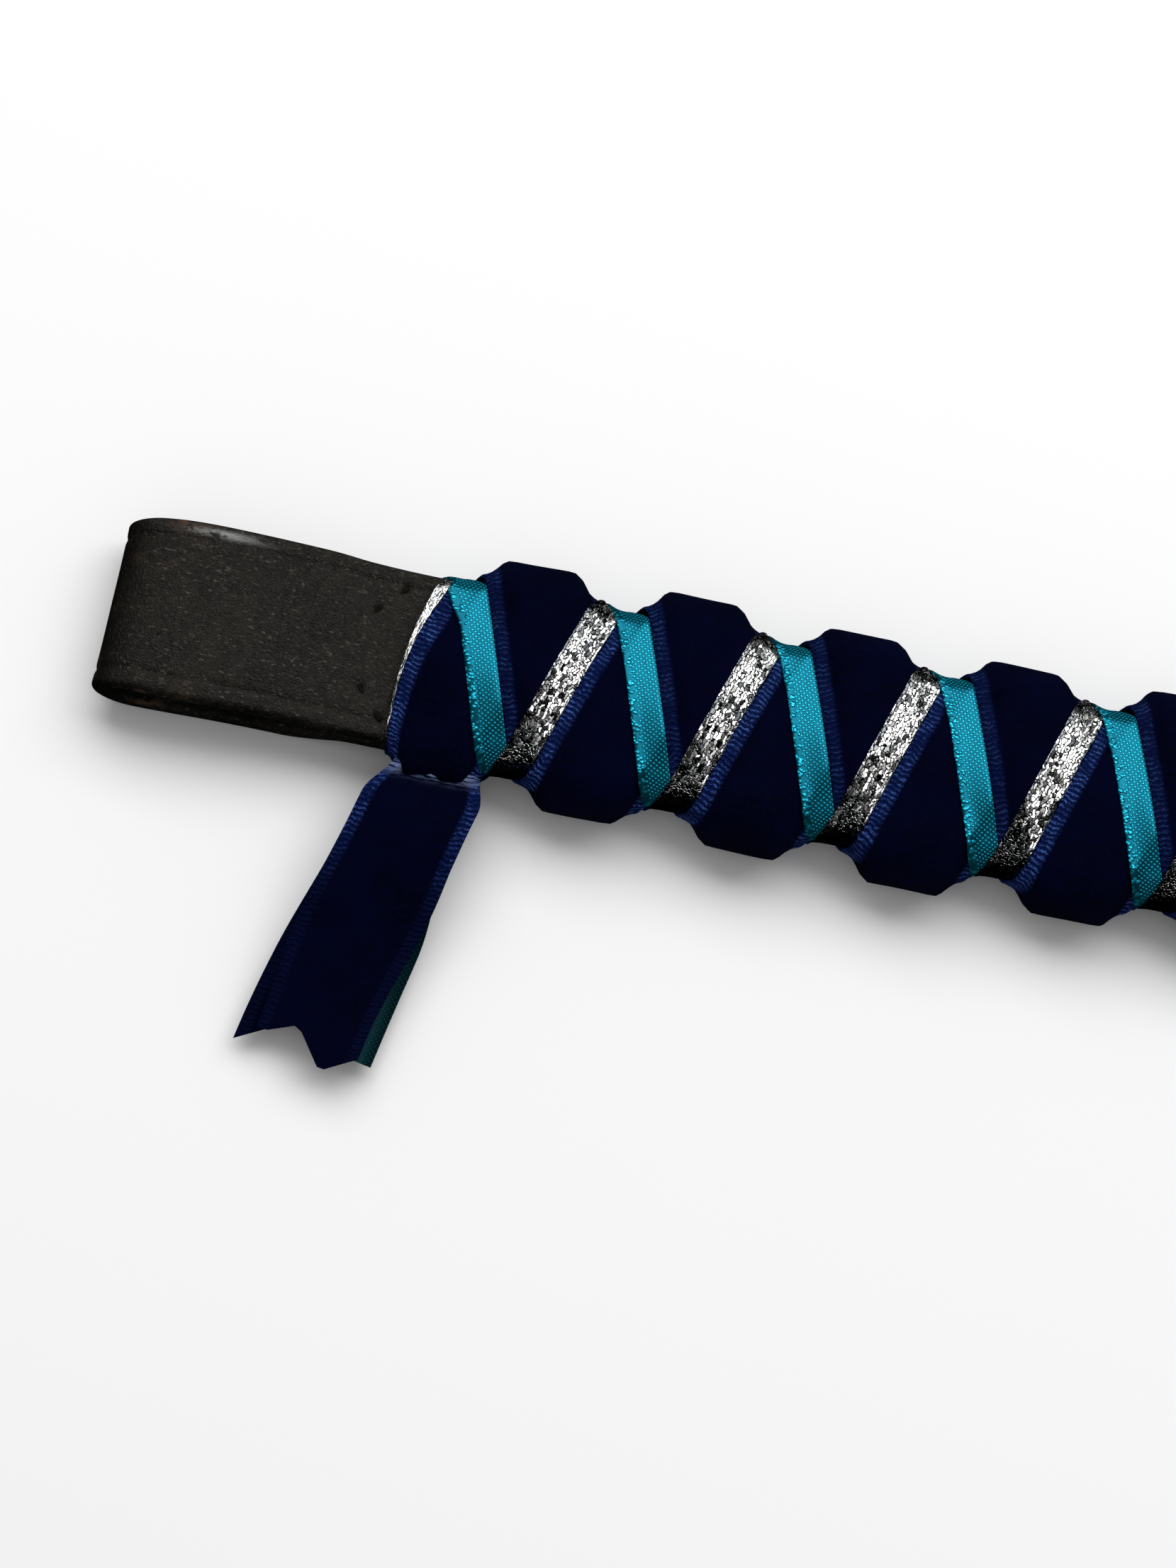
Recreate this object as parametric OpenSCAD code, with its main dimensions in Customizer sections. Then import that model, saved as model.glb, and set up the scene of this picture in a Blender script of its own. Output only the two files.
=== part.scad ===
// Show browband: a leather strap folded into a flat loop at each end, wound with two velvet
// ribbons, a narrow lame ribbon and a narrow satin ribbon that cross alternately over and under,
// with the ribbon ends hanging as a short fishtail beside each loop.
// The band lies on its back: X along the band, Y across it (up in wear), +Z out of the front.

/* [Leather strap] */
// Finished length of the band, from fold to fold
band_len = 406; // [360:1:440]
// Width of the strap
strap_w = 22.2; // [19:0.2:26]
// Thickness of one ply of leather
ply_t = 2.5; // [2:0.1:3]
// Clear height inside an end loop
loop_gap = 4.5; // [4.3:0.1:6]
// Straight clear length inside an end loop
loop_clear = 20; // [16:1:26]

/* [Ribbons] */
// Width of each velvet ribbon
velvet_w = 15; // [12:0.5:18]
// Thickness of the velvet, pile included
velvet_t = 1.3; // [1:0.1:1.6]
// Width of the narrow lame and satin ribbons
narrow_w = 4; // [3:0.5:6]
// Thickness of the narrow ribbons
narrow_t = 0.5; // [0.3:0.1:0.8]

/* [Ribbon tails] */
// Length of a tail from the edge of the band to its tip
tail_len = 39; // [25:1:60]
// Angle by which a tail leans outwards from square to the band
tail_lean = 13; // [0:1:20]
// Width of a tail at the waist where it is sewn down
waist_w = 11; // [9:0.5:12]

/* [Thread] */
// Diameter of the waxed thread
thread_d = 0.8; // [0.6:0.1:1]
// Number of hidden stitches across each loop seam
seam_stitches = 4; // [2:1:4]

/* [Hidden] */
$fn = 48;

// Heights: the loops and the tacking stitches under the winding all rest at the same level
half_w = strap_w / 2;
loop_t = 2 * ply_t + loop_gap;
fold_r = loop_t / 2;
layer_gap = 0.05;
lift = velvet_t + layer_gap;
tack_t = 0.5;
mid_z = ply_t + lift + velvet_t + tack_t;
front_z = mid_z + ply_t;

// Places along the strap, measured from the middle of the band
fold_x = band_len / 2 - fold_r;
ramp_x = fold_x - loop_clear;
ramp_len = 5.5;
closed_x = ramp_x - ramp_len;
butt_gap = 1;

// Stitches: two slanting ones in sight at each loop and a row across, under the ribbons
thread_r = thread_d / 2;
pull_r = 0.75 * thread_r;
thread_play = 0.05;
stitch_run = 3;
stitch_gap = 1.2;
slant_near_x = closed_x - 1.75;
slant_near_y = half_w - 5.9;
slant_far_y = half_w - 2.6;
seam_row_x = closed_x - 10.5;

// Winding: both sets of ribbons climb round the strap at the same slope, in opposite directions
mean_level = 0.9;
girth = 2 * strap_w + 4 * ply_t + 8 * mean_level;
set_w = velvet_w + narrow_w;
turn_gap = 0.48;
riser_w = 0.3;
function pitch_after(n) = n == 0 ? set_w : turn_gap + set_w * sqrt(1 + pow(pitch_after(n - 1) / girth, 2));
pitch = pitch_after(6);
slope = pitch / girth;
along = sqrt(1 + slope * slope);
velvet_along = velvet_w * along;
narrow_along = narrow_w * along;
end_margin = 2;
bare_len = 37;
turns = floor((band_len - 2 * bare_len) / pitch);
wound_half = turns * pitch / 2 + end_margin;
lead = -narrow_along / 2;
first_cross = 2 - turns * pitch / 2;
reach = half_w + lift;
wound_edge = half_w + lift + velvet_t;

// Tails: each turns about a line along the band, just clear of the ribbons' lower edge
hinge_gap = 0.35;
hinge_y = -wound_edge - hinge_gap;
hinge_z = mid_z + 1.4;
tail_x = wound_half - 6.3;
tail_droop = 5.5;
root_gap = 0.7;
puff_d = 8;
tip_w = 5;
notch_up = 4;
corner_up = 2.2;
back_turn = 2;
tip_reach = (tail_len * cos(tail_lean) + tip_w * sin(tail_lean)) * cos(tail_droop);

// The origin is under the middle of the whole object, so the band itself lies off centre in Y
band_y = (-hinge_y + tip_reach - wound_edge) / 2;

leather_brown = [0.10, 0.08, 0.07];
velvet_navy = [0.04, 0.06, 0.32];
satin_teal = [0.0, 0.62, 0.68];
lame_silver = [0.80, 0.80, 0.78];
thread_dark = [0.07, 0.05, 0.04];

// Where the two sets cross on the upper edge, for turn k
function top_cross(k) = first_cross + k * pitch;
// Leading edge of a pass on a face; lean is 1 where it rises to the right, -1 where it falls
function pass_x(k, lean, y) = top_cross(k) - lean * pitch / 4 + lean * slope * y + lead;
// Line where a pass steps between the two layers: the leading edge of the pass that crosses next
function step_x(k, lean, y) = lean > 0 ? pass_x(k, -1, y) : pass_x(k + 1, 1, y);

// ---- Leather strap ----

module half_strap_outline() {
    translate([fold_x, fold_r])
        intersection() {
            difference() {
                circle(r = fold_r);
                circle(r = loop_gap / 2);
            }
            translate([0, -fold_r])
                square([fold_r, loop_t]);
        }
    for (z = [0, loop_t - ply_t])
        translate([ramp_x, z])
            square([loop_clear, ply_t]);
    polygon([[closed_x, mid_z - ply_t], [ramp_x, 0], [ramp_x, ply_t], [closed_x, mid_z]]);
    polygon([[closed_x, mid_z], [ramp_x, loop_t - ply_t], [ramp_x, loop_t], [closed_x, front_z]]);
    translate([0, mid_z])
        square([closed_x, ply_t]);
    translate([butt_gap / 2, mid_z - ply_t])
        square([closed_x - butt_gap / 2, ply_t]);
}

module leather_strap() {
    color(leather_brown)
    difference() {
        translate([0, band_y + half_w, 0])
            rotate([90, 0, 0])
            linear_extrude(strap_w)
            union() {
                half_strap_outline();
                mirror([1, 0]) half_strap_outline();
            }
        loop_stitch_room();
        mirror([1, 0, 0]) loop_stitch_room();
    }
}

// ---- Stitches ----

// The bars of one stitch lie just under the front and the back face of the closed strap
function bar_heights() = [front_z - thread_r - thread_play, mid_z - ply_t + thread_r + thread_play];

// One stitch from point a to point b: a bar along each face and a thread through at each end
module stitch(a, b) {
    run = b - a;
    heights = bar_heights();
    for (z = heights)
        translate([a[0], a[1], z])
            rotate([0, 0, atan2(run[1], run[0])])
            rotate([0, 90, 0])
            translate([0, 0, -thread_r])
            cylinder(r = thread_r, h = norm(run) + 2 * thread_r);
    for (p = [a, b])
        translate([p[0], p[1], heights[1]])
            cylinder(r = pull_r, h = heights[0] - heights[1]);
}

// Room for one stitch in the leather: an open channel in each face and a hole at each end
module stitch_room(a, b) {
    run = b - a;
    wide = 2 * (thread_r + thread_play);
    for (z = [front_z - wide, mid_z - ply_t - wide])
        translate([a[0], a[1], z])
            rotate([0, 0, atan2(run[1], run[0])])
            translate([-wide / 2, -wide / 2, 0])
            cube([norm(run) + wide, wide, 2 * wide]);
    for (p = [a, b])
        translate([p[0], p[1], mid_z - ply_t - 1])
            cylinder(r = pull_r + thread_play, h = 2 * ply_t + 2);
}

// Starts and ends of the stitches that close the right-hand loop
function loop_seams() = concat(
    [for (side = [-1, 1]) [[slant_near_x, side * slant_near_y], [slant_near_x - stitch_run, side * slant_far_y]]],
    [for (i = [0 : seam_stitches - 1])
        let (y = (i - (seam_stitches - 1) / 2) * (stitch_run + stitch_gap))
        [[seam_row_x, y - stitch_run / 2], [seam_row_x, y + stitch_run / 2]]]
);

module loop_stitches() {
    color(thread_dark)
    translate([0, band_y, 0])
        for (s = loop_seams())
            stitch(s[0], s[1]);
}

module loop_stitch_room() {
    translate([0, band_y, 0])
        for (s = loop_seams())
            stitch_room(s[0], s[1]);
}

module left_loop_stitches() {
    mirror([1, 0, 0]) loop_stitches();
}

module right_loop_stitches() {
    loop_stitches();
}

// ---- Wound ribbons ----

// A slanting strip across the face, from y = -limit to y = limit
module slanted_strip(x_low, x_high, wide, limit) {
    polygon([[x_low, -limit], [x_low + wide, -limit], [x_high + wide, limit], [x_high, limit]]);
}

module wound_zone(low, high) {
    translate([-wound_half, low])
        square([2 * wound_half, high - low]);
}

// The part of each pass of one ribbon on a face that lies from x0 to x1 beyond its own step line.
// Overhang is how far it runs out past the upper edge of the strap, or past the lower one if negative.
module pass_parts(lean, off, wide, x0, x1, overhang) {
    intersection() {
        for (k = [0 : turns - 1])
            intersection() {
                slanted_strip(pass_x(k, lean, -reach) + off, pass_x(k, lean, reach) + off, wide, reach);
                slanted_strip(step_x(k, lean, -reach) + x0, step_x(k, lean, reach) + x0, x1 - x0, reach);
            }
        wound_zone(-half_w + min(overhang, 0), half_w + max(overhang, 0));
    }
}

// One ribbon on one face: each pass lies over its neighbour on one side of its step line and
// under it on the other, and a riser joins the two
module face_run(lean, off, wide, thick, left_is_outer, overhang) {
    step_end = -layer_gap;
    step_start = step_end - riser_w;
    translate([0, 0, ply_t + (left_is_outer ? lift : 0)])
        linear_extrude(thick)
        pass_parts(lean, off, wide, -pitch, step_end, left_is_outer ? overhang : 0);
    translate([0, 0, ply_t + (left_is_outer ? 0 : lift)])
        linear_extrude(thick)
        pass_parts(lean, off, wide, step_start, pitch, left_is_outer ? 0 : overhang);
    translate([0, 0, ply_t])
        linear_extrude(lift + thick)
        pass_parts(lean, off, wide, step_start, step_end, 0);
}

// One ribbon over one long edge of the strap, for crossings numbered first to last
module edge_run(shift, lean, off, wide, thick, level, y0, first, last) {
    z = ply_t + level + thick;
    translate([0, y0, 0])
        rotate([90, 0, 0])
        linear_extrude(thick)
        intersection() {
            for (k = [first : last]) {
                x = top_cross(k) + shift + lead + off;
                polygon([
                    [x - lean * slope * z, -z],
                    [x - lean * slope * z + wide, -z],
                    [x + lean * slope * z + wide, z],
                    [x + lean * slope * z, z]
                ]);
            }
            wound_zone(-z, z);
        }
}

// A whole ribbon. Set a rises to the right across the front and lies under at the upper edge;
// set b falls to the right and lies over at the upper edge.
module wound_ribbon(is_a, off, wide, thick) {
    front_lean = is_a ? 1 : -1;
    top_level = is_a ? 0 : lift;
    low_level = is_a ? lift : 0;
    overhang = is_a ? -lift : lift;
    translate([0, band_y, mid_z])
        union() {
            face_run(front_lean, off, wide, thick, true, overhang);
            mirror([0, 0, 1]) face_run(-front_lean, off, wide, thick, false, overhang);
            edge_run(0, -front_lean, off, wide, thick, top_level, half_w + top_level + thick, 0, turns - 1);
            edge_run(-pitch / 2, front_lean, off, wide, thick, low_level, -half_w - low_level, 0, turns);
        }
}

module velvet_ribbon_a() {
    color(velvet_navy) wound_ribbon(true, narrow_along, velvet_along, velvet_t);
}

module lame_ribbon() {
    color(lame_silver) wound_ribbon(true, 0, narrow_along, narrow_t);
}

module velvet_ribbon_b() {
    color(velvet_navy) wound_ribbon(false, narrow_along, velvet_along, velvet_t);
}

module satin_ribbon() {
    color(satin_teal) wound_ribbon(false, 0, narrow_along, narrow_t);
}

// ---- Tacking stitches on the back, where the ribbon ends are sewn down ----

module tack_stitches() {
    bar = [4, 0.8, tack_t];
    for (i = [0 : 2])
        translate([tail_x - bar[0] / 2, band_y - half_w + 2 + i * 2, 0])
            cube(bar);
}

module left_tack_stitches() {
    color(thread_dark) mirror([1, 0, 0]) tack_stitches();
}

module right_tack_stitches() {
    color(thread_dark) tack_stitches();
}

// ---- Ribbon tails ----

// Lays a flat outline into the right-hand tail as one layer, starting depth below the top layer
module tail_layer(depth, thick, turn) {
    translate([tail_x, band_y + hinge_y, hinge_z])
        rotate([tail_droop, 0, 0])
        translate([0, 0, -depth - thick])
        linear_extrude(thick)
        intersection() {
            rotate(tail_lean + turn) children();
            translate([-tail_len, -root_gap - 2 * tail_len])
                square(2 * tail_len);
        }
}

// Right-hand outlines: x is across the tail, outwards positive, and -y runs down it
module front_outline() {
    side = velvet_w / 2;
    root = waist_w / 2;
    polygon([
        [-root, waist_w / 2], [root, waist_w / 2], [root, 0], [side, -puff_d],
        [side, corner_up - tail_len - 1], [side - 2, corner_up - tail_len], [1, notch_up - tail_len],
        [-tip_w, -tail_len], [-side, notch_up / 2 - tail_len], [-side, -puff_d], [-root, 0]
    ]);
}

module back_outline() {
    side = velvet_w / 2;
    root = waist_w / 2;
    polygon([
        [-root, waist_w / 2], [root, waist_w / 2], [root, 0], [side, -puff_d],
        [side, 0.5 - tail_len], [0, 2 + notch_up - tail_len],
        [-side, 2 - tail_len], [-side, -puff_d], [-root, 0]
    ]);
}

module narrow_outline() {
    polygon([
        [-waist_w / 2, waist_w / 2], [narrow_w - waist_w / 2, waist_w / 2],
        [narrow_w - waist_w / 2, 0], [narrow_w - 8.2, corner_up - tail_len],
        [-8.2, corner_up + 0.6 - tail_len], [-waist_w / 2, 0]
    ]);
}

module tail_front() {
    tail_layer(0, velvet_t - 0.1, 0) front_outline();
}

module tail_narrow() {
    tail_layer(velvet_t - 0.1 + layer_gap, narrow_t - 0.1, 0) narrow_outline();
}

module tail_back() {
    tail_layer(velvet_t + narrow_t - 0.2 + 2 * layer_gap, velvet_t - 0.1, back_turn) back_outline();
}

module left_tail_velvet_front() {
    color(velvet_navy) mirror([1, 0, 0]) tail_front();
}

module left_tail_velvet_back() {
    color(velvet_navy) mirror([1, 0, 0]) tail_back();
}

module left_tail_satin() {
    color(satin_teal) mirror([1, 0, 0]) tail_narrow();
}

module right_tail_velvet_front() {
    color(velvet_navy) tail_front();
}

module right_tail_velvet_back() {
    color(velvet_navy) tail_back();
}

module right_tail_lame() {
    color(lame_silver) tail_narrow();
}

leather_strap();
left_loop_stitches();
right_loop_stitches();
velvet_ribbon_a();
lame_ribbon();
velvet_ribbon_b();
satin_ribbon();
left_tack_stitches();
right_tack_stitches();
left_tail_velvet_front();
left_tail_velvet_back();
left_tail_satin();
right_tail_velvet_front();
right_tail_velvet_back();
right_tail_lame();
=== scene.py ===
import math

import bpy
import numpy as np
from mathutils import Matrix, Vector


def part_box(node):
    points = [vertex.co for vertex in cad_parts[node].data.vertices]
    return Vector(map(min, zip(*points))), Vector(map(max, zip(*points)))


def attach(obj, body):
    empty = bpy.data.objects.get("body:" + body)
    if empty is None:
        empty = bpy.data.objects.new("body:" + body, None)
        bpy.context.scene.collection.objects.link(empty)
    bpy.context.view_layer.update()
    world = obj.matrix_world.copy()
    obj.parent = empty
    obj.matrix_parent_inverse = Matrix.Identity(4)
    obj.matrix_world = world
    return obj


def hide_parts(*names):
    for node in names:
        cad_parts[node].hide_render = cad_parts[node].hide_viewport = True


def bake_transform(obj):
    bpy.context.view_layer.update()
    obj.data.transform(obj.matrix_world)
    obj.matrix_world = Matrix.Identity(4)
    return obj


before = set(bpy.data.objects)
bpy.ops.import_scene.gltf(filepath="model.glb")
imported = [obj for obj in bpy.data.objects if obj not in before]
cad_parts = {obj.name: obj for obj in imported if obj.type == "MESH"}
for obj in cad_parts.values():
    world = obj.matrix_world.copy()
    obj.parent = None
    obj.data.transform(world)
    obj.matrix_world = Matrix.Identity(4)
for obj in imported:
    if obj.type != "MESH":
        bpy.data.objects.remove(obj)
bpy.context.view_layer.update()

# ---- Sizes of the object in millimetres: the strap's from the frame, the rest as part.scad has them,
# but for the thicknesses and the ends of the winding, which belong to the soft ribbons shown here ----

MM = 0.001
strap_low, strap_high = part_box("leather_strap")
BAND_Y = (strap_low.y + strap_high.y) / 2 / MM
HALF_LEN = strap_high.x / MM
HALF_W = (strap_high.y - strap_low.y) / 2 / MM
LOOP_TOP = strap_high.z / MM
PLY = 2.5
MID_Z = 5.65
RAMP_X = 178.25
CLOSED_X = 172.75
FOLD_R = LOOP_TOP / 2
FOLD_X = HALF_LEN - FOLD_R

PITCH = 20.505
GIRTH = 61.6
SLOPE = PITCH / GIRTH
STRETCH = math.sqrt(1 + SLOPE * SLOPE)
TURNS = 16
FIRST_CROSS = 2 - TURNS * PITCH / 2
VELVET_W = 15.0
NARROW_W = 4.0
NARROW_X = NARROW_W * STRETCH
SET_X = (NARROW_W + VELVET_W) * STRETCH
LEAD = -NARROW_X / 2
PILE_T = 1.3
SELVEDGE_T = 0.45
SELVEDGE_W = 1.8
NARROW_T = 0.35
WOUND_END = 166.45
TABLE_GAP = 0.02

TAIL_X = 159.74

CAMERA_TILT = math.radians(17.5)
CAMERA_ROLL = math.radians(11.5)
CAMERA_AIM = (FIRST_CROSS + 20.94, BAND_Y - 11.56)
VIEW_HEIGHT = 192.3
LENS = 100


def smooth(value, low, high):
    t = np.clip((value - low) / (high - low), 0, 1)
    return t * t * (3 - 2 * t)


# ---- Mesh helpers ----

def signed_volume(points, faces):
    a, b, c, d = (points[faces[:, k]] for k in range(4))
    one = np.einsum("ij,ij->i", a, np.cross(b, c)).sum()
    two = np.einsum("ij,ij->i", a, np.cross(c, d)).sum()
    return (one + two) / 6


def make_mesh(name, points, faces, attributes, material, sharp=50):
    """A closed mesh from points in mm and quads, turned so that it faces outwards."""
    if signed_volume(points - points.mean(0), faces) < 0:
        faces = faces[:, ::-1]
    mesh = bpy.data.meshes.new(name)
    mesh.vertices.add(len(points))
    mesh.vertices.foreach_set("co", (points * MM).astype(np.float32).ravel())
    mesh.loops.add(faces.size)
    mesh.loops.foreach_set("vertex_index", faces.astype(np.int32).ravel())
    mesh.polygons.add(len(faces))
    mesh.polygons.foreach_set("loop_start", np.arange(0, faces.size, 4, dtype=np.int32))
    mesh.update(calc_edges=True)
    mesh.validate()
    mesh.polygons.foreach_set("use_smooth", np.ones(len(mesh.polygons), bool))
    if sharp:
        mesh.set_sharp_from_angle(angle=math.radians(sharp))
    for key, values in attributes.items():
        layer = mesh.attributes.new(key, "FLOAT", "POINT")
        layer.data.foreach_set("value", np.asarray(values, np.float32).ravel())
    mesh.materials.append(material)
    obj = bpy.data.objects.new(name, mesh)
    bpy.context.scene.collection.objects.link(obj)
    return obj


def shell(name, outer, inner, attributes, material):
    """A thin closed sheet between two grids of points, outer and inner, each rows x columns x 3."""
    rows, cols = outer.shape[:2]
    index = np.arange(rows * cols).reshape(rows, cols)
    under = index + rows * cols
    faces = [
        np.stack([index[:-1, :-1], index[:-1, 1:], index[1:, 1:], index[1:, :-1]], -1).reshape(-1, 4),
        np.stack([under[:-1, :-1], under[1:, :-1], under[1:, 1:], under[:-1, 1:]], -1).reshape(-1, 4),
        np.stack([index[:-1, 0], index[1:, 0], under[1:, 0], under[:-1, 0]], -1),
        np.stack([index[1:, -1], index[:-1, -1], under[:-1, -1], under[1:, -1]], -1),
        np.stack([index[0, 1:], index[0, :-1], under[0, :-1], under[0, 1:]], -1),
        np.stack([index[-1, :-1], index[-1, 1:], under[-1, 1:], under[-1, :-1]], -1),
    ]
    points = np.concatenate([outer.reshape(-1, 3), inner.reshape(-1, 3)])
    doubled = {key: np.concatenate([np.ravel(v), np.ravel(v)]) for key, v in attributes.items()}
    return make_mesh(name, points, np.concatenate(faces), doubled, material)


def swept(name, rings, attributes, material, sharp=50):
    """A closed tube through rings of points, rows x columns x 3, with a flat quad strip as each end."""
    rows, cols = rings.shape[:2]
    index = np.arange(rows * cols).reshape(rows, cols)
    after = np.roll(index, -1, axis=1)
    faces = [np.stack([index[:-1], after[:-1], after[1:], index[1:]], -1).reshape(-1, 4)]
    half = cols // 2
    for row, turn in ((0, 1), (rows - 1, -1)):
        a = index[row, :half]
        b = index[row, ::-1][:half]
        cap = np.stack([a[:-1], b[:-1], b[1:], a[1:]], -1)
        faces.append(cap[:, ::turn])
    return make_mesh(name, rings.reshape(-1, 3), np.concatenate(faces), attributes, material, sharp)


# ---- Material helpers ----

class Nodes:
    """Short names for building one material's node tree."""

    def __init__(self, name):
        self.material = bpy.data.materials.new(name)
        self.material.use_nodes = True
        self.tree = self.material.node_tree
        self.tree.nodes.clear()
        self.out = self.tree.nodes.new("ShaderNodeOutputMaterial")
        self.bsdf = self.tree.nodes.new("ShaderNodeBsdfPrincipled")
        self.link(self.bsdf.outputs[0], self.out.inputs["Surface"])

    def link(self, a, b):
        self.tree.links.new(a, b)

    def put(self, value, socket):
        if isinstance(value, bpy.types.NodeSocket):
            self.link(value, socket)
        else:
            socket.default_value = value

    def math(self, operation, a, b=0.0, c=0.0):
        node = self.tree.nodes.new("ShaderNodeMath")
        node.operation = operation
        for value, socket in zip((a, b, c), node.inputs):
            self.put(value, socket)
        return node.outputs[0]

    def attribute(self, name):
        node = self.tree.nodes.new("ShaderNodeAttribute")
        node.attribute_name = name
        return node.outputs["Fac"]

    def ramp(self, value, low, high, to_low=0.0, to_high=1.0):
        node = self.tree.nodes.new("ShaderNodeMapRange")
        node.interpolation_type = "SMOOTHSTEP"
        for socket, v in zip(node.inputs, (value, low, high, to_low, to_high)):
            self.put(v, socket)
        return node.outputs[0]

    def vector(self, x, y, z=0.0):
        node = self.tree.nodes.new("ShaderNodeCombineXYZ")
        for value, socket in zip((x, y, z), node.inputs):
            self.put(value, socket)
        return node.outputs[0]

    def position(self):
        node = self.tree.nodes.new("ShaderNodeTexCoord")
        return node.outputs["Object"]

    def noise(self, vector, scale, detail=2.0, rough=0.5):
        node = self.tree.nodes.new("ShaderNodeTexNoise")
        self.put(vector, node.inputs["Vector"])
        node.inputs["Scale"].default_value = scale
        node.inputs["Detail"].default_value = detail
        node.inputs["Roughness"].default_value = rough
        return node.outputs["Fac"]

    def voronoi(self, vector, scale):
        node = self.tree.nodes.new("ShaderNodeTexVoronoi")
        self.put(vector, node.inputs["Vector"])
        node.inputs["Scale"].default_value = scale
        return node.outputs["Distance"]

    def white(self, vector):
        node = self.tree.nodes.new("ShaderNodeTexWhiteNoise")
        self.put(vector, node.inputs["Vector"])
        return node.outputs["Value"], node.outputs["Color"]

    def mix(self, factor, a, b):
        node = self.tree.nodes.new("ShaderNodeMix")
        node.data_type = "RGBA"
        self.put(factor, node.inputs["Factor"])
        self.put(a, node.inputs[6])
        self.put(b, node.inputs[7])
        return node.outputs[2]

    def bump(self, height, distance, strength=1.0, normal=None):
        node = self.tree.nodes.new("ShaderNodeBump")
        node.inputs["Distance"].default_value = distance
        node.inputs["Strength"].default_value = strength
        self.link(height, node.inputs["Height"])
        if normal is not None:
            self.link(normal, node.inputs["Normal"])
        return node.outputs[0]

    def set(self, **sockets):
        for key, value in sockets.items():
            self.put(value, self.bsdf.inputs[key.replace("_", " ")])


def rgb(red, green, blue):
    return (red, green, blue, 1.0)


# ---- Materials ----

def velvet_material(name="velvet_navy"):
    n = Nodes(name)
    across, along = n.attribute("across"), n.attribute("along")
    edge = n.math("MINIMUM", across, n.math("SUBTRACT", VELVET_W, across))
    selvedge = n.ramp(edge, SELVEDGE_W + 0.10, SELVEDGE_W - 0.55)
    wobble = n.noise(n.vector(across, n.math("MULTIPLY", along, 0.4)), 0.9, 2.0)
    phase = n.math("MULTIPLY_ADD", wobble, 1.7, n.math("DIVIDE", along, 0.66))
    rib = n.math("SINE", n.math("MULTIPLY", phase, 2 * math.pi))
    rib = n.ramp(rib, -0.8, 1.0)
    threads = n.noise(n.vector(n.math("MULTIPLY", across, 3.0), n.math("MULTIPLY", along, 8.0)), 1.0, 3.0)
    lit = n.ramp(n.noise(n.vector(across, along, 3.0), 0.45, 3.0, 0.75), 0.38, 0.64, 0.12, 1.0)
    # Painted highlights on the selvedge ribs, scaled by the painted-light "glint" attribute
    glint = n.math("MULTIPLY", rib, n.math("MULTIPLY", lit, n.ramp(threads, 0.38, 0.66)))
    glint = n.math("MULTIPLY", glint, n.attribute("glint"))
    grain = n.noise(n.position(), 1800.0, 3.0, 0.7)
    patch = n.noise(n.position(), 160.0, 3.0)
    pile = n.mix(n.ramp(patch, 0.3, 0.75), rgb(0.0002, 0.0005, 0.0062), rgb(0.0003, 0.0009, 0.0112))
    pile = n.mix(n.ramp(grain, 0.45, 0.8), pile, rgb(0.0005, 0.0013, 0.0165))
    # The selvedge's dark blue, lightened to bright blue where highlights are painted on the ribs
    ribbed = n.mix(glint, rgb(0.0008, 0.0044, 0.0400), rgb(0.062, 0.140, 0.460))
    # Painted sheen: pale streaks where the pile bends at the tails' waist crease
    crease_sheen_streaks = n.noise(n.vector(n.math("MULTIPLY", across, 0.35), n.math("MULTIPLY", along, 3.2)), 1.0, 3.0, 0.6)
    crease_sheen = n.math("MULTIPLY", n.attribute("crease"), n.ramp(crease_sheen_streaks, 0.40, 0.60))
    # Painted shade: the selvedge fades into the pile's colour where the "glint" attribute is low
    shown = n.math("MULTIPLY", selvedge, n.ramp(n.attribute("glint"), 0.0, 0.9, 0.22, 1.0))
    base = n.mix(shown, pile, ribbed)
    # The velvet's colour, with the painted sheen of the waist crease on top
    n.set(Base_Color=n.mix(crease_sheen, base, rgb(0.140, 0.185, 0.330)))
    n.set(Roughness=n.ramp(selvedge, 0.0, 1.0, 0.85, 0.5))
    n.bsdf.inputs["Specular IOR Level"].default_value = 0.02
    n.bsdf.inputs["Sheen Weight"].default_value = 0.02
    n.bsdf.inputs["Sheen Roughness"].default_value = 0.35
    n.bsdf.inputs["Sheen Tint"].default_value = rgb(0.01, 0.05, 0.55)
    height = n.math("MULTIPLY_ADD", n.math("MULTIPLY", rib, selvedge), 1.2, n.math("MULTIPLY", grain, 0.5))
    n.set(Normal=n.bump(height, 0.00018, 0.8))
    return n.material


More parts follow.
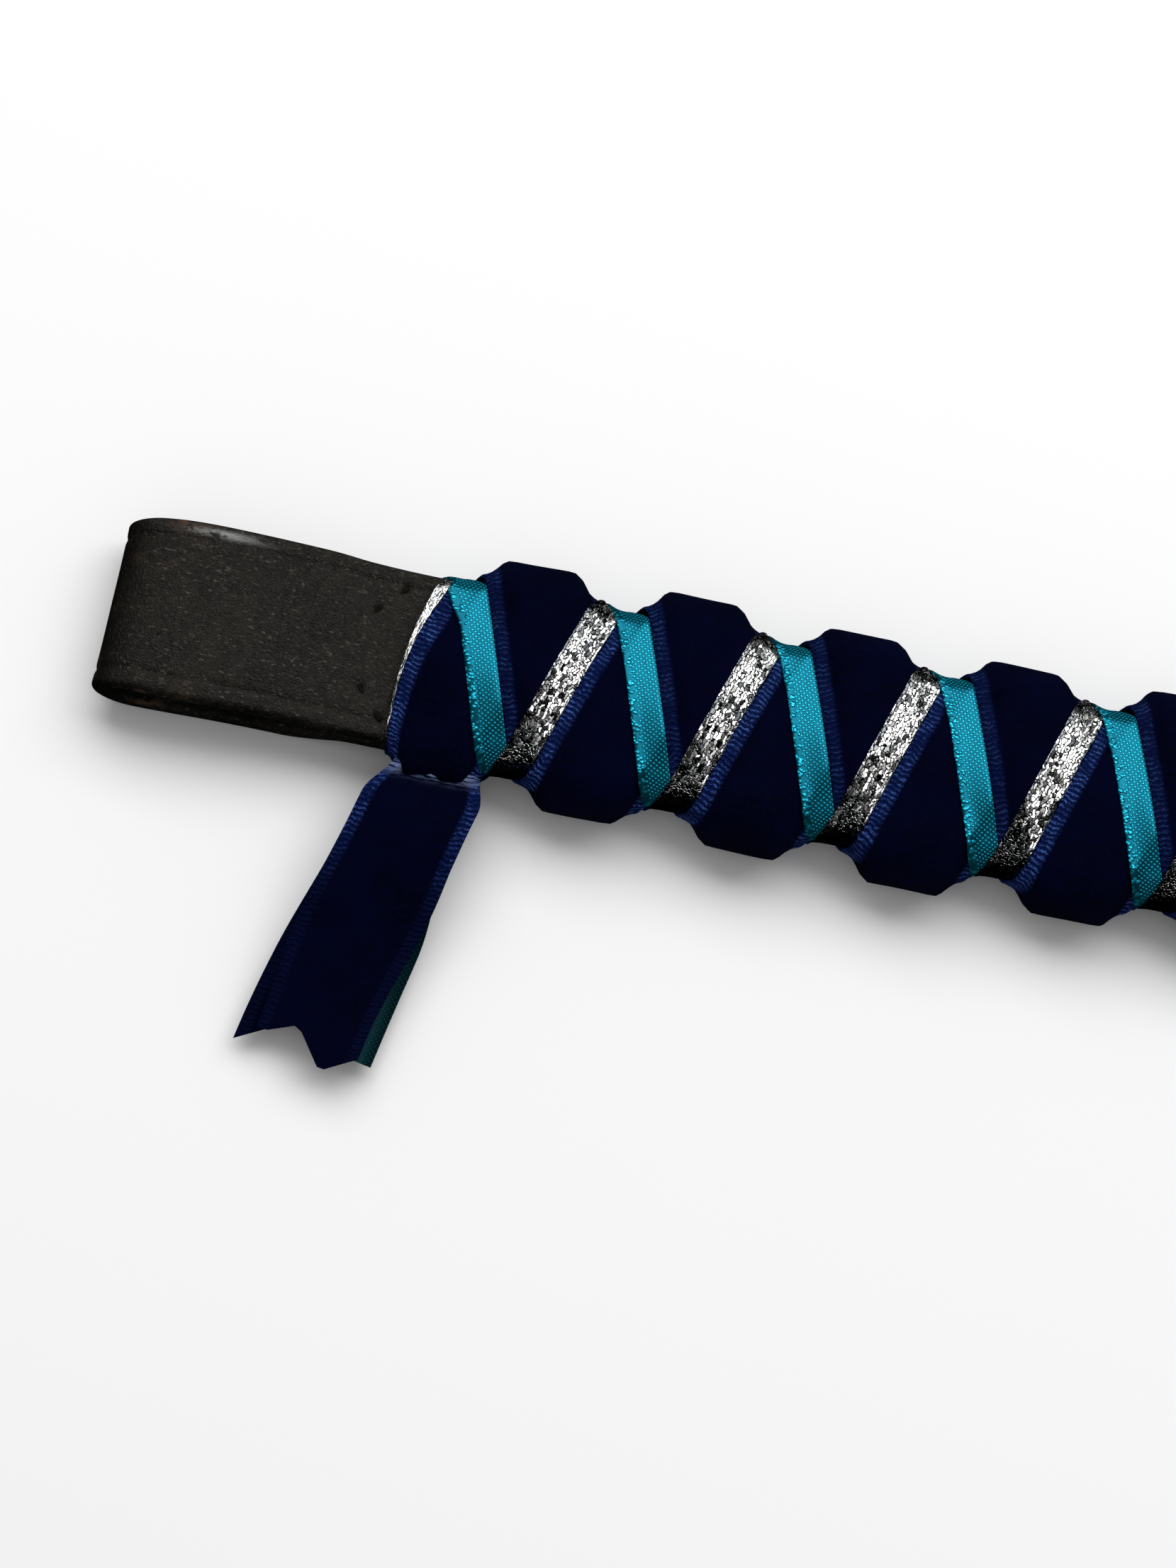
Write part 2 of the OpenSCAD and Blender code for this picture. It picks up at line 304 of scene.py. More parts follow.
def satin_material(name="teal_satin"):
    n = Nodes(name)
    across, along = n.attribute("across"), n.attribute("along")
    one = n.math("ADD", n.math("DIVIDE", along, 0.62), n.math("DIVIDE", across, 0.72))
    two = n.math("SUBTRACT", n.math("DIVIDE", along, 0.62), n.math("DIVIDE", across, 0.72))
    dots = n.math(
        "MULTIPLY",
        n.math("SINE", n.math("MULTIPLY", one, math.pi)),
        n.math("SINE", n.math("MULTIPLY", two, math.pi)),
    )
    dots = n.ramp(n.math("ABSOLUTE", dots), 0.42, 0.85)
    loops = n.voronoi(n.vector(n.math("MULTIPLY", across, 1.6), n.math("MULTIPLY", along, 2.1)), 1.0)
    loops = n.ramp(loops, 0.6, 0.2)
    picot = n.ramp(across, 1.05, 0.85)
    fleck = n.mix(picot, n.vector(dots, dots, dots), n.vector(loops, loops, loops))
    streak = n.noise(n.vector(n.math("MULTIPLY", across, 2.0), n.math("MULTIPLY", along, 0.25)), 1.0, 2.0)
    base = n.mix(n.ramp(streak, 0.3, 0.7), rgb(0.0, 0.100, 0.150), rgb(0.0, 0.135, 0.200))
    lit = n.mix(fleck, base, rgb(0.016, 0.520, 0.760))
    # Painted shade: where the "glint" attribute is low the satin is painted almost black, as shadow
    n.set(Base_Color=n.mix(n.attribute("glint"), rgb(0.001, 0.012, 0.013), lit))
    n.set(Roughness=n.ramp(streak, 0.2, 0.8, 0.29, 0.31))
    n.bsdf.inputs["Specular IOR Level"].default_value = 0.35
    n.bsdf.inputs["Metallic"].default_value = 0.80
    n.set(Normal=n.bump(fleck, 0.00012, 0.7))
    return n.material


def lame_material(name="silver_lame"):
    n = Nodes(name)
    across, along = n.attribute("across"), n.attribute("along")
    swirl = n.noise(n.vector(across, along), 1.1, 2.0)
    swirl_two = n.noise(n.vector(across, along, 7.0), 1.3, 2.0)
    column = n.math("DIVIDE", n.math("MULTIPLY_ADD", swirl, 1.1, across), 0.42)
    whole = n.math("FLOOR", column)
    row = n.math("DIVIDE", n.math("MULTIPLY_ADD", swirl_two, 2.4, along), 0.72)
    row = n.math("ADD", row, n.math("MULTIPLY", whole, 0.5))
    chance, colour = n.white(n.vector(whole, n.math("FLOOR", row)))
    fx, fy = n.math("FRACT", column), n.math("FRACT", row)
    inset = n.math(
        "MINIMUM",
        n.math("MINIMUM", fx, n.math("SUBTRACT", 1.0, fx)),
        n.math("MINIMUM", fy, n.math("SUBTRACT", 1.0, fy)),
    )
    flake = n.ramp(inset, 0.03, 0.16)
    shade = n.mix(n.ramp(chance, 0.04, 0.40), rgb(0.06, 0.065, 0.07), rgb(0.97, 0.98, 0.95))
    border = n.ramp(across, 0.30, 0.75)
    shade = n.mix(border, n.mix(n.ramp(chance, 0.55, 0.9), rgb(0.16, 0.17, 0.18), rgb(0.6, 0.6, 0.6)), shade)
    n.set(Base_Color=n.mix(flake, rgb(0.008, 0.009, 0.011), shade))
    n.bsdf.inputs["Metallic"].default_value = 1.0
    n.set(Roughness=n.ramp(chance, 0.0, 1.0, 0.13, 0.28))
    geometry = n.tree.nodes.new("ShaderNodeNewGeometry")
    tilt = n.tree.nodes.new("ShaderNodeVectorMath")
    tilt.operation = "MULTIPLY_ADD"
    n.link(colour, tilt.inputs[0])
    tilt.inputs[1].default_value = (0.24, 0.24, 0.24)
    tilt.inputs[2].default_value = (-0.12, -0.12, -0.12)
    total = n.tree.nodes.new("ShaderNodeVectorMath")
    total.operation = "ADD"
    n.link(geometry.outputs["Normal"], total.inputs[0])
    n.link(tilt.outputs[0], total.inputs[1])
    unit = n.tree.nodes.new("ShaderNodeVectorMath")
    unit.operation = "NORMALIZE"
    n.link(total.outputs[0], unit.inputs[0])
    n.set(Normal=n.bump(flake, 0.00010, 0.6, unit.outputs[0]))
    return n.material


def leather_material(name="strap_leather"):
    n = Nodes(name)
    place = n.position()
    pores = n.voronoi(place, 4200.0)
    cells = n.voronoi(place, 2300.0)
    cloud = n.noise(place, 90.0, 4.0)
    fine = n.noise(place, 2600.0, 3.0, 0.7)
    wear = n.attribute("wear")
    mottle = n.noise(place, 620.0, 4.0, 0.65)
    base = n.mix(n.ramp(cloud, 0.3, 0.7), rgb(0.0100, 0.0088, 0.0062), rgb(0.0172, 0.0158, 0.0118))
    base = n.mix(n.ramp(mottle, 0.35, 0.70), n.mix(0.45, base, rgb(0.0, 0.0, 0.0)), base)
    base = n.mix(n.ramp(fine, 0.55, 0.8), base, rgb(0.040, 0.037, 0.030))
    rubbed = n.math("MULTIPLY", wear, n.ramp(n.noise(place, 260.0, 4.0, 0.7), 0.50, 0.68))
    stretched_place = n.tree.nodes.new("ShaderNodeVectorMath")
    stretched_place.operation = "MULTIPLY"
    n.link(place, stretched_place.inputs[0])
    stretched_place.inputs[1].default_value = (0.36, 0.85, 1.0)
    # Painted highlights: small pale flecks where the pebbled grain catches the light
    fleck = n.ramp(n.noise(stretched_place.outputs[0], 3300.0, 2.0, 0.6), 0.58, 0.74)
    base = n.mix(fleck, base, rgb(0.062, 0.057, 0.048))
    # Painted shade: the "dark" attribute darkens the folds and the stitch holes
    base = n.mix(n.attribute("dark"), base, rgb(0.0030, 0.0022, 0.0010))
    # Painted highlight: a pale streaky shine on the upper edge next to each fold
    highlight_streaks = n.ramp(n.noise(stretched_place.outputs[0], 900.0, 4.0, 0.7), 0.40, 0.56)
    highlight_mask = n.math("MULTIPLY", n.attribute("painted_highlight"), highlight_streaks)
    base = n.mix(highlight_mask, base, rgb(0.30, 0.30, 0.29))
    n.set(Base_Color=n.mix(rubbed, base, rgb(0.060, 0.034, 0.018)))
    n.set(Roughness=n.ramp(cloud, 0.3, 0.7, 0.46, 0.58))
    n.bsdf.inputs["Specular IOR Level"].default_value = 0.16
    height = n.math("ADD", n.math("MULTIPLY", pores, 0.8), n.math("MULTIPLY", cells, 0.6))
    height = n.math("ADD", height, n.math("MULTIPLY", fine, 0.5))
    n.set(Normal=n.bump(height, 0.00016, 0.8))
    return n.material


def thread_material(name="waxed_thread"):
    n = Nodes(name)
    twist = n.noise(n.position(), 1500.0, 2.0)
    dark, pale = rgb(0.0020, 0.0014, 0.0009), rgb(0.0075, 0.0055, 0.0038)
    n.set(Base_Color=n.mix(n.ramp(twist, 0.35, 0.65), dark, pale))
    n.bsdf.inputs["Roughness"].default_value = 0.7
    n.bsdf.inputs["Specular IOR Level"].default_value = 0.08
    n.set(Normal=n.bump(twist, 0.0001, 0.6))
    return n.material


def floor_material():
    n = Nodes("floor_pale")
    n.bsdf.inputs["Base Color"].default_value = rgb(0.93, 0.93, 0.93)
    n.bsdf.inputs["Roughness"].default_value = 0.95
    n.bsdf.inputs["Specular IOR Level"].default_value = 0.0
    return n.material


VELVET = velvet_material()
SATIN = satin_material()
LAME = lame_material()
LEATHER = leather_material()
THREAD = thread_material()

# ---- Camera, floor and lights ----

def point_camera():
    across = Vector((1, 0, 0))
    upward = Vector((0, math.cos(CAMERA_TILT), math.sin(CAMERA_TILT)))
    back = Vector((0, -math.sin(CAMERA_TILT), math.cos(CAMERA_TILT)))
    right = across * math.cos(CAMERA_ROLL) + upward * math.sin(CAMERA_ROLL)
    up = -across * math.sin(CAMERA_ROLL) + upward * math.cos(CAMERA_ROLL)
    aim = Vector((*CAMERA_AIM, MID_Z + PLY)) * MM
    data = bpy.data.cameras.new("photo_view")
    data.lens = LENS
    data.clip_start = 0.01
    camera = bpy.data.objects.new("photo_view", data)
    bpy.context.scene.collection.objects.link(camera)
    place = Matrix((right, up, back)).transposed().to_4x4()
    place.translation = aim + back * (data.lens / data.sensor_width * VIEW_HEIGHT * MM)
    camera.matrix_world = place
    bpy.context.scene.camera = camera


def add_light(name, place, target, size, power):
    data = bpy.data.lights.new(name, "AREA")
    data.shape = "RECTANGLE"
    data.size, data.size_y = size
    data.energy = power
    light = bpy.data.objects.new(name, data)
    light.location = place
    light.rotation_euler = (Vector(target) - Vector(place)).to_track_quat("-Z", "Y").to_euler()
    bpy.context.scene.collection.objects.link(light)


def add_floor():
    mesh = bpy.data.meshes.new("floor")
    far = 3.0
    mesh.from_pydata([(-far, -far, 0), (far, -far, 0), (far, far, 0), (-far, far, 0)], [], [(0, 1, 2, 3)])
    mesh.materials.append(floor_material())
    floor = bpy.data.objects.new("floor", mesh)
    bpy.context.scene.collection.objects.link(floor)
    floor.visible_glossy = False


point_camera()
add_floor()
centre = (FIRST_CROSS * MM, BAND_Y * MM, 0.0)
add_light("key", (-0.05, 0.64, 0.90), centre, (1.9, 0.8), 13.8)
world = bpy.data.worlds.new("studio")
world.use_nodes = True
world.node_tree.nodes["Background"].inputs["Color"].default_value = (1.0, 1.0, 1.0, 1.0)
world.node_tree.nodes["Background"].inputs["Strength"].default_value = 0.42
world.cycles_visibility.glossy = False
bpy.context.scene.world = world
bpy.context.scene.view_settings.view_transform = "Standard"

# ---- Leather strap ----

HOLE_DEPTH = 0.42


def front_rise(x):
    """How far the front ply stands above its place under the winding as it opens into a loop."""
    return (LOOP_TOP - PLY - MID_Z) * smooth(x, CLOSED_X - 5, RAMP_X + 14)


def strap_path():
    """Centre line of the strap from the butt on the back, round the left fold, along the front and
    round the right fold back to the butt: x, z and the direction of travel."""
    low, high = PLY / 2, LOOP_TOP - PLY / 2
    back, front = MID_Z - PLY / 2, MID_Z + PLY / 2
    half = []
    for x in np.arange(0.5, CLOSED_X - 4, 4.0):
        half.append((-x, back))
    for x in np.arange(CLOSED_X - 4, FOLD_X, 0.5):
        half.append((-x, back + (low - back) * smooth(x, CLOSED_X - 1.5, RAMP_X + 1.5)))
    centre_z = LOOP_TOP / 2
    radius = high - centre_z
    for angle in np.linspace(0, math.pi, 34):
        half.append((-FOLD_X - radius * math.sin(angle), centre_z - radius * math.cos(angle)))
    open_part = np.arange(FOLD_X - 0.5, CLOSED_X + 0.5, -0.5)
    for x in np.concatenate([open_part, np.arange(CLOSED_X + 0.2, CLOSED_X - 6, -0.25)]):
        half.append((-x, front + front_rise(x)))
    for x in np.arange(CLOSED_X - 6, 0.5, -4.0):
        half.append((-x, front))
    half = np.array(half)
    other = half[::-1] * (-1, 1)
    return np.concatenate([half, other])


def strap_profile():
    """The strap's section: across the width and out from its middle, front side first."""
    edge_r, crease, crease_w, crease_d = 0.65, 2.25, 0.42, 0.16
    top = []
    ys = np.concatenate([
        np.linspace(-HALF_W + edge_r, -HALF_W + crease - 2 * crease_w, 3),
        np.linspace(-HALF_W + crease - 1.5 * crease_w, -HALF_W + crease + 1.5 * crease_w, 9),
        np.linspace(-HALF_W + crease + 2 * crease_w, -4.2, 13),
        np.linspace(-4.0, 0, 5),
    ])
    ys = np.concatenate([ys, -ys[-2::-1]])
    for y in ys:
        off = abs(abs(y) - (HALF_W - crease)) / crease_w
        top.append((y, PLY / 2 - crease_d * math.exp(-off * off)))
    arc = []
    flat = PLY / 2 - edge_r
    for angle in np.linspace(math.pi / 2, 0, 7)[1:]:
        arc.append((HALF_W - edge_r + edge_r * math.cos(angle), flat + edge_r * math.sin(angle)))
    low_arc = [(y, -v) for y, v in arc[::-1]]
    under = [(y, -PLY / 2) for y in ys[::-1]]
    left = [(-y, v) for y, v in low_arc[::-1]]
    left_up = [(-y, v) for y, v in arc[::-1]]
    return np.array(top + arc + low_arc + under + left + left_up)


def stitch_holes(x, y):
    """1 at the ends of the slanting stitches, where the thread pulls the leather in, and 0 away from them."""
    near, far = (CLOSED_X - 1.75, HALF_W - 5.9), (CLOSED_X - 4.75, HALF_W - 2.6)
    length = math.dist(near, far)
    way_x, way_y = (far[0] - near[0]) / length, (far[1] - near[1]) / length
    pull = 0
    for end_x, end_y in (near, far):
        along_it = way_x * (x - end_x) + way_y * (y - end_y)
        off_it = way_y * (x - end_x) - way_x * (y - end_y)
        pull = pull + np.exp(-(along_it / 0.75) ** 2 - (off_it / 0.38) ** 2)
    return pull


def build_strap():
    path = strap_path()
    step = np.gradient(path, axis=0)
    step /= np.linalg.norm(step, axis=1)[:, None]
    out = np.stack([-step[:, 1], step[:, 0]], 1)
    middle = np.argmin(np.abs(path[:, 0]) + np.where(path[:, 1] > MID_Z, 0, 1000))
    if out[middle, 1] < 0:
        out = -out
    profile = strap_profile()
    x, z = path[:, 0:1], path[:, 1:2]
    y, v = profile[None, :, 0], profile[None, :, 1]
    travel = np.cumsum(np.linalg.norm(np.diff(path, axis=0, prepend=path[:1]), axis=1))[:, None]
    fold = np.exp(-((np.abs(x) - HALF_LEN) / 5.0) ** 2)
    loose = smooth(np.abs(x), CLOSED_X, CLOSED_X + 6)
    wave = 0.12 * np.sin(travel / 9.5 + 0.8) * np.sin(y / 7.5 + 0.6) + 0.03 * np.sin(travel / 4.1 + y / 5.0)
    lift = (loose * wave + loose * 0.25 * (1 - (y / HALF_W) ** 2) * (v > 0)) * smooth(z, 2, 6)
    narrow = 1 - 0.018 * fold
    skew = 0.30 * loose * np.sin(travel / 9.0)
    points = np.empty(x.shape[:1] + (profile.shape[0], 3))
    flare = 0.35 + 0.35 * (np.abs(y) / HALF_W) ** 3
    points[:, :, 0] = x + out[:, 0:1] * (v + lift) + np.sign(x) * fold * flare
    flare_up = 0.85 * smooth(np.abs(x), 163, 194) * np.clip(y / HALF_W, 0, 1) * (1 - fold)
    points[:, :, 1] = BAND_Y + y * narrow + skew + flare_up
    points[:, :, 2] = z + out[:, 1:2] * (v + lift)
    edge_wear = smooth(np.abs(y), HALF_W - 1.3, HALF_W - 0.2)
    wear = np.clip(0.25 * loose + edge_wear, 0, 1) * smooth(np.abs(x), 184, 200)
    # Painted shade: darker round the folds at the loop ends, where the strap turns away from the light
    dark = 0.80 * np.exp(-((np.abs(x) - HALF_LEN) / 4.6) ** 2)
    pulled = stitch_holes(np.abs(x), np.abs(y)) * (z > FOLD_R) * (v > 0)
    points[:, :, 2] -= HOLE_DEPTH * pulled
    # Painted shade in the sunken stitch holes
    dark = np.maximum(dark, 0.9 * pulled)
    rise = (points[:, :, 1] - BAND_Y) - (HALF_W - 0.75)
    # Painted highlight along the upper edge of the front ply, next to each fold
    painted_highlight = np.exp(-(rise / 0.45) ** 2) * np.exp(-((np.abs(x) - 191.5) / 4.0) ** 2) * (v > 0)
    # Attributes: real wear, painted shade at the folds and stitch holes, and a painted highlight on the upper
    # edge
    wear_and_painted_light = {"wear": wear, "dark": dark, "painted_highlight": painted_highlight}
    piece = swept("strap", points, wear_and_painted_light, LEATHER, 60)
    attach(piece, "band")
    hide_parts("leather_strap")


build_strap()

# ---- Wound ribbons: how high each one rides over the leather ----

COLS = 100
STEPS = 200
ROWS = TURNS * STEPS + 1
Q_STEP = PITCH / COLS
S_STEP = GIRTH / STEPS
NARROW_COLS = 21
SET_COLS = 98
RELAX_STEPS = 260
PULL_ALONG = 0.62
PULL_ACROSS = 0.30
SINK = 0.0035
FIRST_LIFT = 1.2
RIBBON_GAP = 0.05
TOOTH_LIFT = 1.60
NARROW_LIFT = 0.9
EDGE_REACH = 5.5
CROWN_H = 1.15


def velvet_thickness(edge):
    """Thin at the woven selvedge and thick over the pile, at a distance from the ribbon's edge."""
    return SELVEDGE_T + (PILE_T - SELVEDGE_T) * smooth(edge, SELVEDGE_W - 0.1, SELVEDGE_W + 1.5)


def thickness(q):
    """Thickness of a set at distance q from its left edge, measured along the band."""
    velvet = (q - NARROW_X) / STRETCH
    edge = np.minimum(velvet, VELVET_W - velvet)
    return np.where(q < NARROW_X, NARROW_T, np.where(q < SET_X, velvet_thickness(edge), 0.0))


def solve_heights():
    """Heights of the inner faces of sets a and b: each lies on the leather, on the other set where
    it crosses over it, or on neither while it passes from one to the other."""
    column = np.arange(COLS)[None, :]
    row = np.arange(ROWS)[:, None]
    cross = (column + row) // COLS
    other_col = (column + row) % COLS
    other_row = STEPS * cross - row
    there = (other_row >= 0) & (other_row < ROWS)
    other_row = np.clip(other_row, 0, ROWS - 1)
    q = column * Q_STEP
    thick = thickness(q)[0]
    is_narrow = column[0] < NARROW_COLS
    is_velvet = (column[0] >= NARROW_COLS) & (column[0] < SET_COLS)
    groups = [np.nonzero(is_narrow)[0], np.nonzero(is_velvet)[0]]
    girth_at = (row * S_STEP) % GIRTH
    near_low = np.exp(-(girth_at / EDGE_REACH) ** 2) + np.exp(-((GIRTH - girth_at) / EDGE_REACH) ** 2)
    near_top = np.exp(-((girth_at - GIRTH / 2) / EDGE_REACH) ** 2)
    near_edge = near_low + near_top
    both = is_velvet[None, :] & is_velvet[other_col]
    inside = np.minimum(q, other_col * Q_STEP) - NARROW_X
    uneven = 1 + 0.22 * np.sin(2.3 * cross + 0.4)
    clear = RIBBON_GAP + TOOTH_LIFT * near_edge * both * smooth(inside, -0.6, 2.8) * uneven
    other_q = other_col * Q_STEP
    right_border = smooth(SET_X - np.maximum(q, other_q), -0.4, 2.0)
    clear = RIBBON_GAP + (clear - RIBBON_GAP) * right_border
    well_in = smooth(other_q - NARROW_X, 0, 3) * smooth(SET_X - other_q, 0, 4)
    climb = NARROW_LIFT * is_narrow[None, :] * well_in
    clear = clear + near_low * climb
    over_a = there & (cross % 2 == 0)
    over_b = there & (cross % 2 == 1)
    h_a = np.where(over_a, FIRST_LIFT, 0.0)
    h_b = np.where(over_b, FIRST_LIFT, 0.0)
    for _ in range(RELAX_STEPS):
        for h, other, over in ((h_a, h_b, over_a), (h_b, h_a, over_b)):
            base = np.where(over, other[other_row, other_col] + thick[other_col] + clear, 0.0)
            for g in groups:
                part = h[:, g]
                along = np.empty_like(part)
                along[1:-1] = (part[:-2] + part[2:]) / 2
                along[0], along[-1] = part[1], part[-2]
                side = np.empty_like(part)
                side[:, 1:-1] = (part[:, :-2] + part[:, 2:]) / 2
                side[:, 0], side[:, -1] = part[:, 1], part[:, -2]
                part = part + PULL_ALONG * (along - part) + PULL_ACROSS * (side - part) - SINK
                h[:, g] = np.maximum(part, base[:, g])
            h[:, SET_COLS:] = 0.0
    return h_a, h_b


HEIGHT_A, HEIGHT_B = solve_heights()


def section(s, rise):
    """Place and outward direction on the strap's rounded section, s round the girth from the
    middle of the upper edge towards the front, at a height above it."""
    s = (s + GIRTH / 2) % GIRTH - GIRTH / 2
    half_w, half_t, corner = HALF_W + 0.05, PLY + 0.05, 1.9
    edge_s = GIRTH / 4 - (half_w - corner)
    arc_len = (half_t - corner) + math.pi / 2 * (corner + 0.9)
    a = np.abs(s)
    upper = a < GIRTH / 4
    from_edge = np.where(upper, a, GIRTH / 2 - a)
    run = from_edge / edge_s * arc_len
    angle = np.clip((run - (half_t - corner)) / (corner + 0.9), 0, math.pi / 2)
    on_face = from_edge > edge_s
    y = np.where(on_face, GIRTH / 4 - from_edge, half_w - corner + corner * np.cos(angle))
    z = np.where(on_face, half_t, np.minimum(run, half_t - corner) + corner * np.sin(angle))
    crown_h = np.where(s < 0, 0.0, CROWN_H)
    crown = crown_h * np.cos(math.pi / 2 * np.clip(y / half_w, -1, 1))
    lean = crown_h * math.pi / 2 / half_w * np.sin(math.pi / 2 * np.clip(y / half_w, -1, 1))
    ny = np.where(on_face, lean, np.cos(angle) + lean * np.sin(angle))
    nz = np.where(on_face, 1.0, np.sin(angle))
    size = np.sqrt(ny * ny + nz * nz)
    ny, nz = ny / size, nz / size
    z = z + crown
    y = y + rise * ny
    z = z + rise * nz
    return np.where(upper, y, -y), np.where(s < 0, -z, z)


def drawn_in(u, s):
    """Place along the band: the first and last passes are drawn in towards the tails."""
    s = (s + GIRTH / 2) % GIRTH - GIRTH / 2
    a = np.abs(s)
    fade = smooth(a, 0, 5)
    bend = np.clip(1 - a / 22, 0, 1) ** 2
    tuck = 0.9 * np.clip((a - 25) / 5.8, 0, 1) ** 2
    # Left end
    left = FIRST_CROSS - SLOPE * a + LEAD
    split = left + NARROW_X
    close = np.maximum(FIRST_CROSS + SLOPE * a + LEAD, split + 3)
    left_goal = -WOUND_END - 0.35 + 4.2 * bend + tuck
    split_goal = -WOUND_END + 7.0 * bend + tuck
    shift_left = (left_goal - left) * fade
    shift_split = (split_goal - split) * fade
    t1 = np.clip((u - left) / NARROW_X, 0, 1)
    t2 = np.clip((u - split) / (close - split), 0, 1)
    shift = np.where(u < split, shift_left + (shift_split - shift_left) * t1, shift_split * (1 - t2))
    # Right end
    last = FIRST_CROSS + (TURNS - 1) * PITCH
    right = last + SLOPE * a + LEAD + SET_X
    start = np.minimum(last - SLOPE * a + LEAD + SET_X, right - 3)
    goal = WOUND_END - 3.4 * bend - tuck
    t3 = np.clip((u - start) / (right - start), 0, 1)
    return u + shift + (goal - right) * fade * t3


def wound(name, is_a, q_low, q_high, columns, row_step, thick_at, material, bead=None):
    """One ribbon of a set as a thin closed strip, from q_low to q_high of the set's width."""
    heights = HEIGHT_A if is_a else HEIGHT_B
    rows = np.arange(0, ROWS, row_step)
    q = q_low + (q_high - q_low) * columns[None, :]
    s = (GIRTH / 2 - rows * S_STEP if is_a else -GIRTH / 2 + rows * S_STEP)[:, None]
    u = FIRST_CROSS + rows[:, None] * S_STEP * SLOPE - GIRTH / 2 * SLOPE + q + LEAD
    at = np.clip(q / Q_STEP, 0, COLS - 1.001)[0]
    first, last = (0, NARROW_COLS - 1) if q_high < SET_X - 1 else (NARROW_COLS, SET_COLS - 1)
    at = np.clip(at, first, last)
    low = np.floor(at).astype(int)
    part = at - low
    high = np.minimum(low + 1, last)
    h = heights[rows][:, low] * (1 - part) + heights[rows][:, high] * part
    across = np.broadcast_to((q - q_low) / STRETCH, u.shape)
    along = rows[:, None] * S_STEP * STRETCH + (q - q_low) * SLOPE / STRETCH
    t = thick_at(across)
    if bead is not None:
        t = t + bead(across, along)
    near_tail = smooth(rows[:, None] * S_STEP, 9, 0) + smooth((ROWS - 1 - rows[:, None]) * S_STEP, 9, 0)
    h = h + 0.5 * near_tail
    x = drawn_in(u, s)
    faces = []
    for rise in (h + t, h):
        y, z = section(s, rise)
        faces.append(np.stack([x, BAND_Y + y, np.maximum(MID_Z + z, TABLE_GAP)], -1))
    # Painted light: full highlights on the a ribbons and the narrow ribbons, half on the b velvets, which are
    # painted darker
    glint = np.full_like(across, 1.0 if is_a or thick_at is narrow_top else 0.50)
    attributes = {"across": across, "along": along, "crease": np.zeros_like(across), "glint": glint}
    return shell(name, faces[0], faces[1], attributes, material)


def velvet_columns():
    """Places across a velvet, from 0 to 1, close together at both selvedges."""
    edge = [0.0, 0.012, 0.04, 0.075, 0.10, 0.125, 0.16, 0.20, 0.26, 0.33, 0.41, 0.47]
    return np.array(edge + [0.53] + [1 - e for e in edge[-2::-1]])


def velvet_top(across):
    """Thickness of a velvet across its width, rounded off at the very edges."""
    edge = np.minimum(across, VELVET_W - across)
    return velvet_thickness(edge) - 0.22 * np.exp(-edge / 0.12)


def velvet_bead(across, along):
    """The pile's slight unevenness, in mm, away from the selvedges."""
    edge = np.minimum(across, VELVET_W - across)
    inner = smooth(edge, 1.2, 3.0)
    soft = 0.05 * np.sin(along / 3.7 + across / 2.9) + 0.04 * np.sin(along / 1.9 - across / 1.7 + 1.0)
    return inner * soft


def narrow_top(across):
    """Thickness of a satin or lame ribbon across its width, rounded off at the edges."""
    edge = np.minimum(across, NARROW_W - across)
    return NARROW_T - 0.16 * np.exp(-np.maximum(edge, 0) / 0.15)


def build_wound():
    fine = np.linspace(0, 1, 13)
    fine = 0.5 - 0.5 * np.cos(fine * math.pi)
    q_velvet = (NARROW_X + 0.02, SET_X)
    for label, is_a in (("a", True), ("b", False)):
        piece = wound(
            "velvet_" + label, is_a, *q_velvet, velvet_columns(), 2, velvet_top, VELVET, velvet_bead
        )
        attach(piece, "band")
        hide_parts("velvet_ribbon_" + label)
    for name, is_a, node, material, slot in (
        ("lame", True, "lame_ribbon", LAME, "silver_lame"),
        ("satin", False, "satin_ribbon", SATIN, "teal_satin"),
    ):
        piece = wound(name, is_a, 0.0, NARROW_X - 0.02, fine, 2, narrow_top, material)
        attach(piece, "band")
        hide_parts(node)


build_wound()

# ---- Ribbon tails ----

TAIL_START = 11.4
TAIL_ROWS = 76


def tail_edge(fall, low, high):
    """Across from the tail's middle line to its edge, at a distance below the middle of the band."""
    return low + (high - low) * (0.7 * smooth(fall, 12.4, 17.2) + 0.3 * smooth(fall, 20, 38))


def tail_surface(side, across, fall, depth):
    """Points of one layer of a tail. Across runs from -1 at the outer edge to 1 at the inner one."""
    down = fall - 13.4
    middle = TAIL_X + 0.05 + 0.27 * down - 0.0011 * down * down
    half = tail_edge(fall, 5.4, 7.95)
    x = middle - across * half
    puff = 2.6 * smooth(down, -1.5, 4.5) * (1 - smooth(down, 5, 22))
    lie = 6.6 - 1.7 * smooth(down, 5, 38)
    curl = -0.7 * across ** 2 * smooth(down, 1, 8)
    gather = np.exp(-np.maximum(down, -1) / 5.0)
    pleats = gather * (0.55 * np.cos(7.5 * across + 0.7) + 0.25 * np.cos(16 * across))
    ripple = 0.35 * np.sin(across * 2.2 + down / 7.0) * smooth(down, 3, 12)
    z = lie + puff + curl + pleats + ripple - depth
    rel = (-fall - (z - MID_Z - PLY) * math.sin(CAMERA_TILT)) / math.cos(CAMERA_TILT)
    return np.stack([side * x, BAND_Y + rel, z], -1)


def width_of(edge_low, edge_high):
    return VELVET_W if edge_high - edge_low > 1.5 else NARROW_W


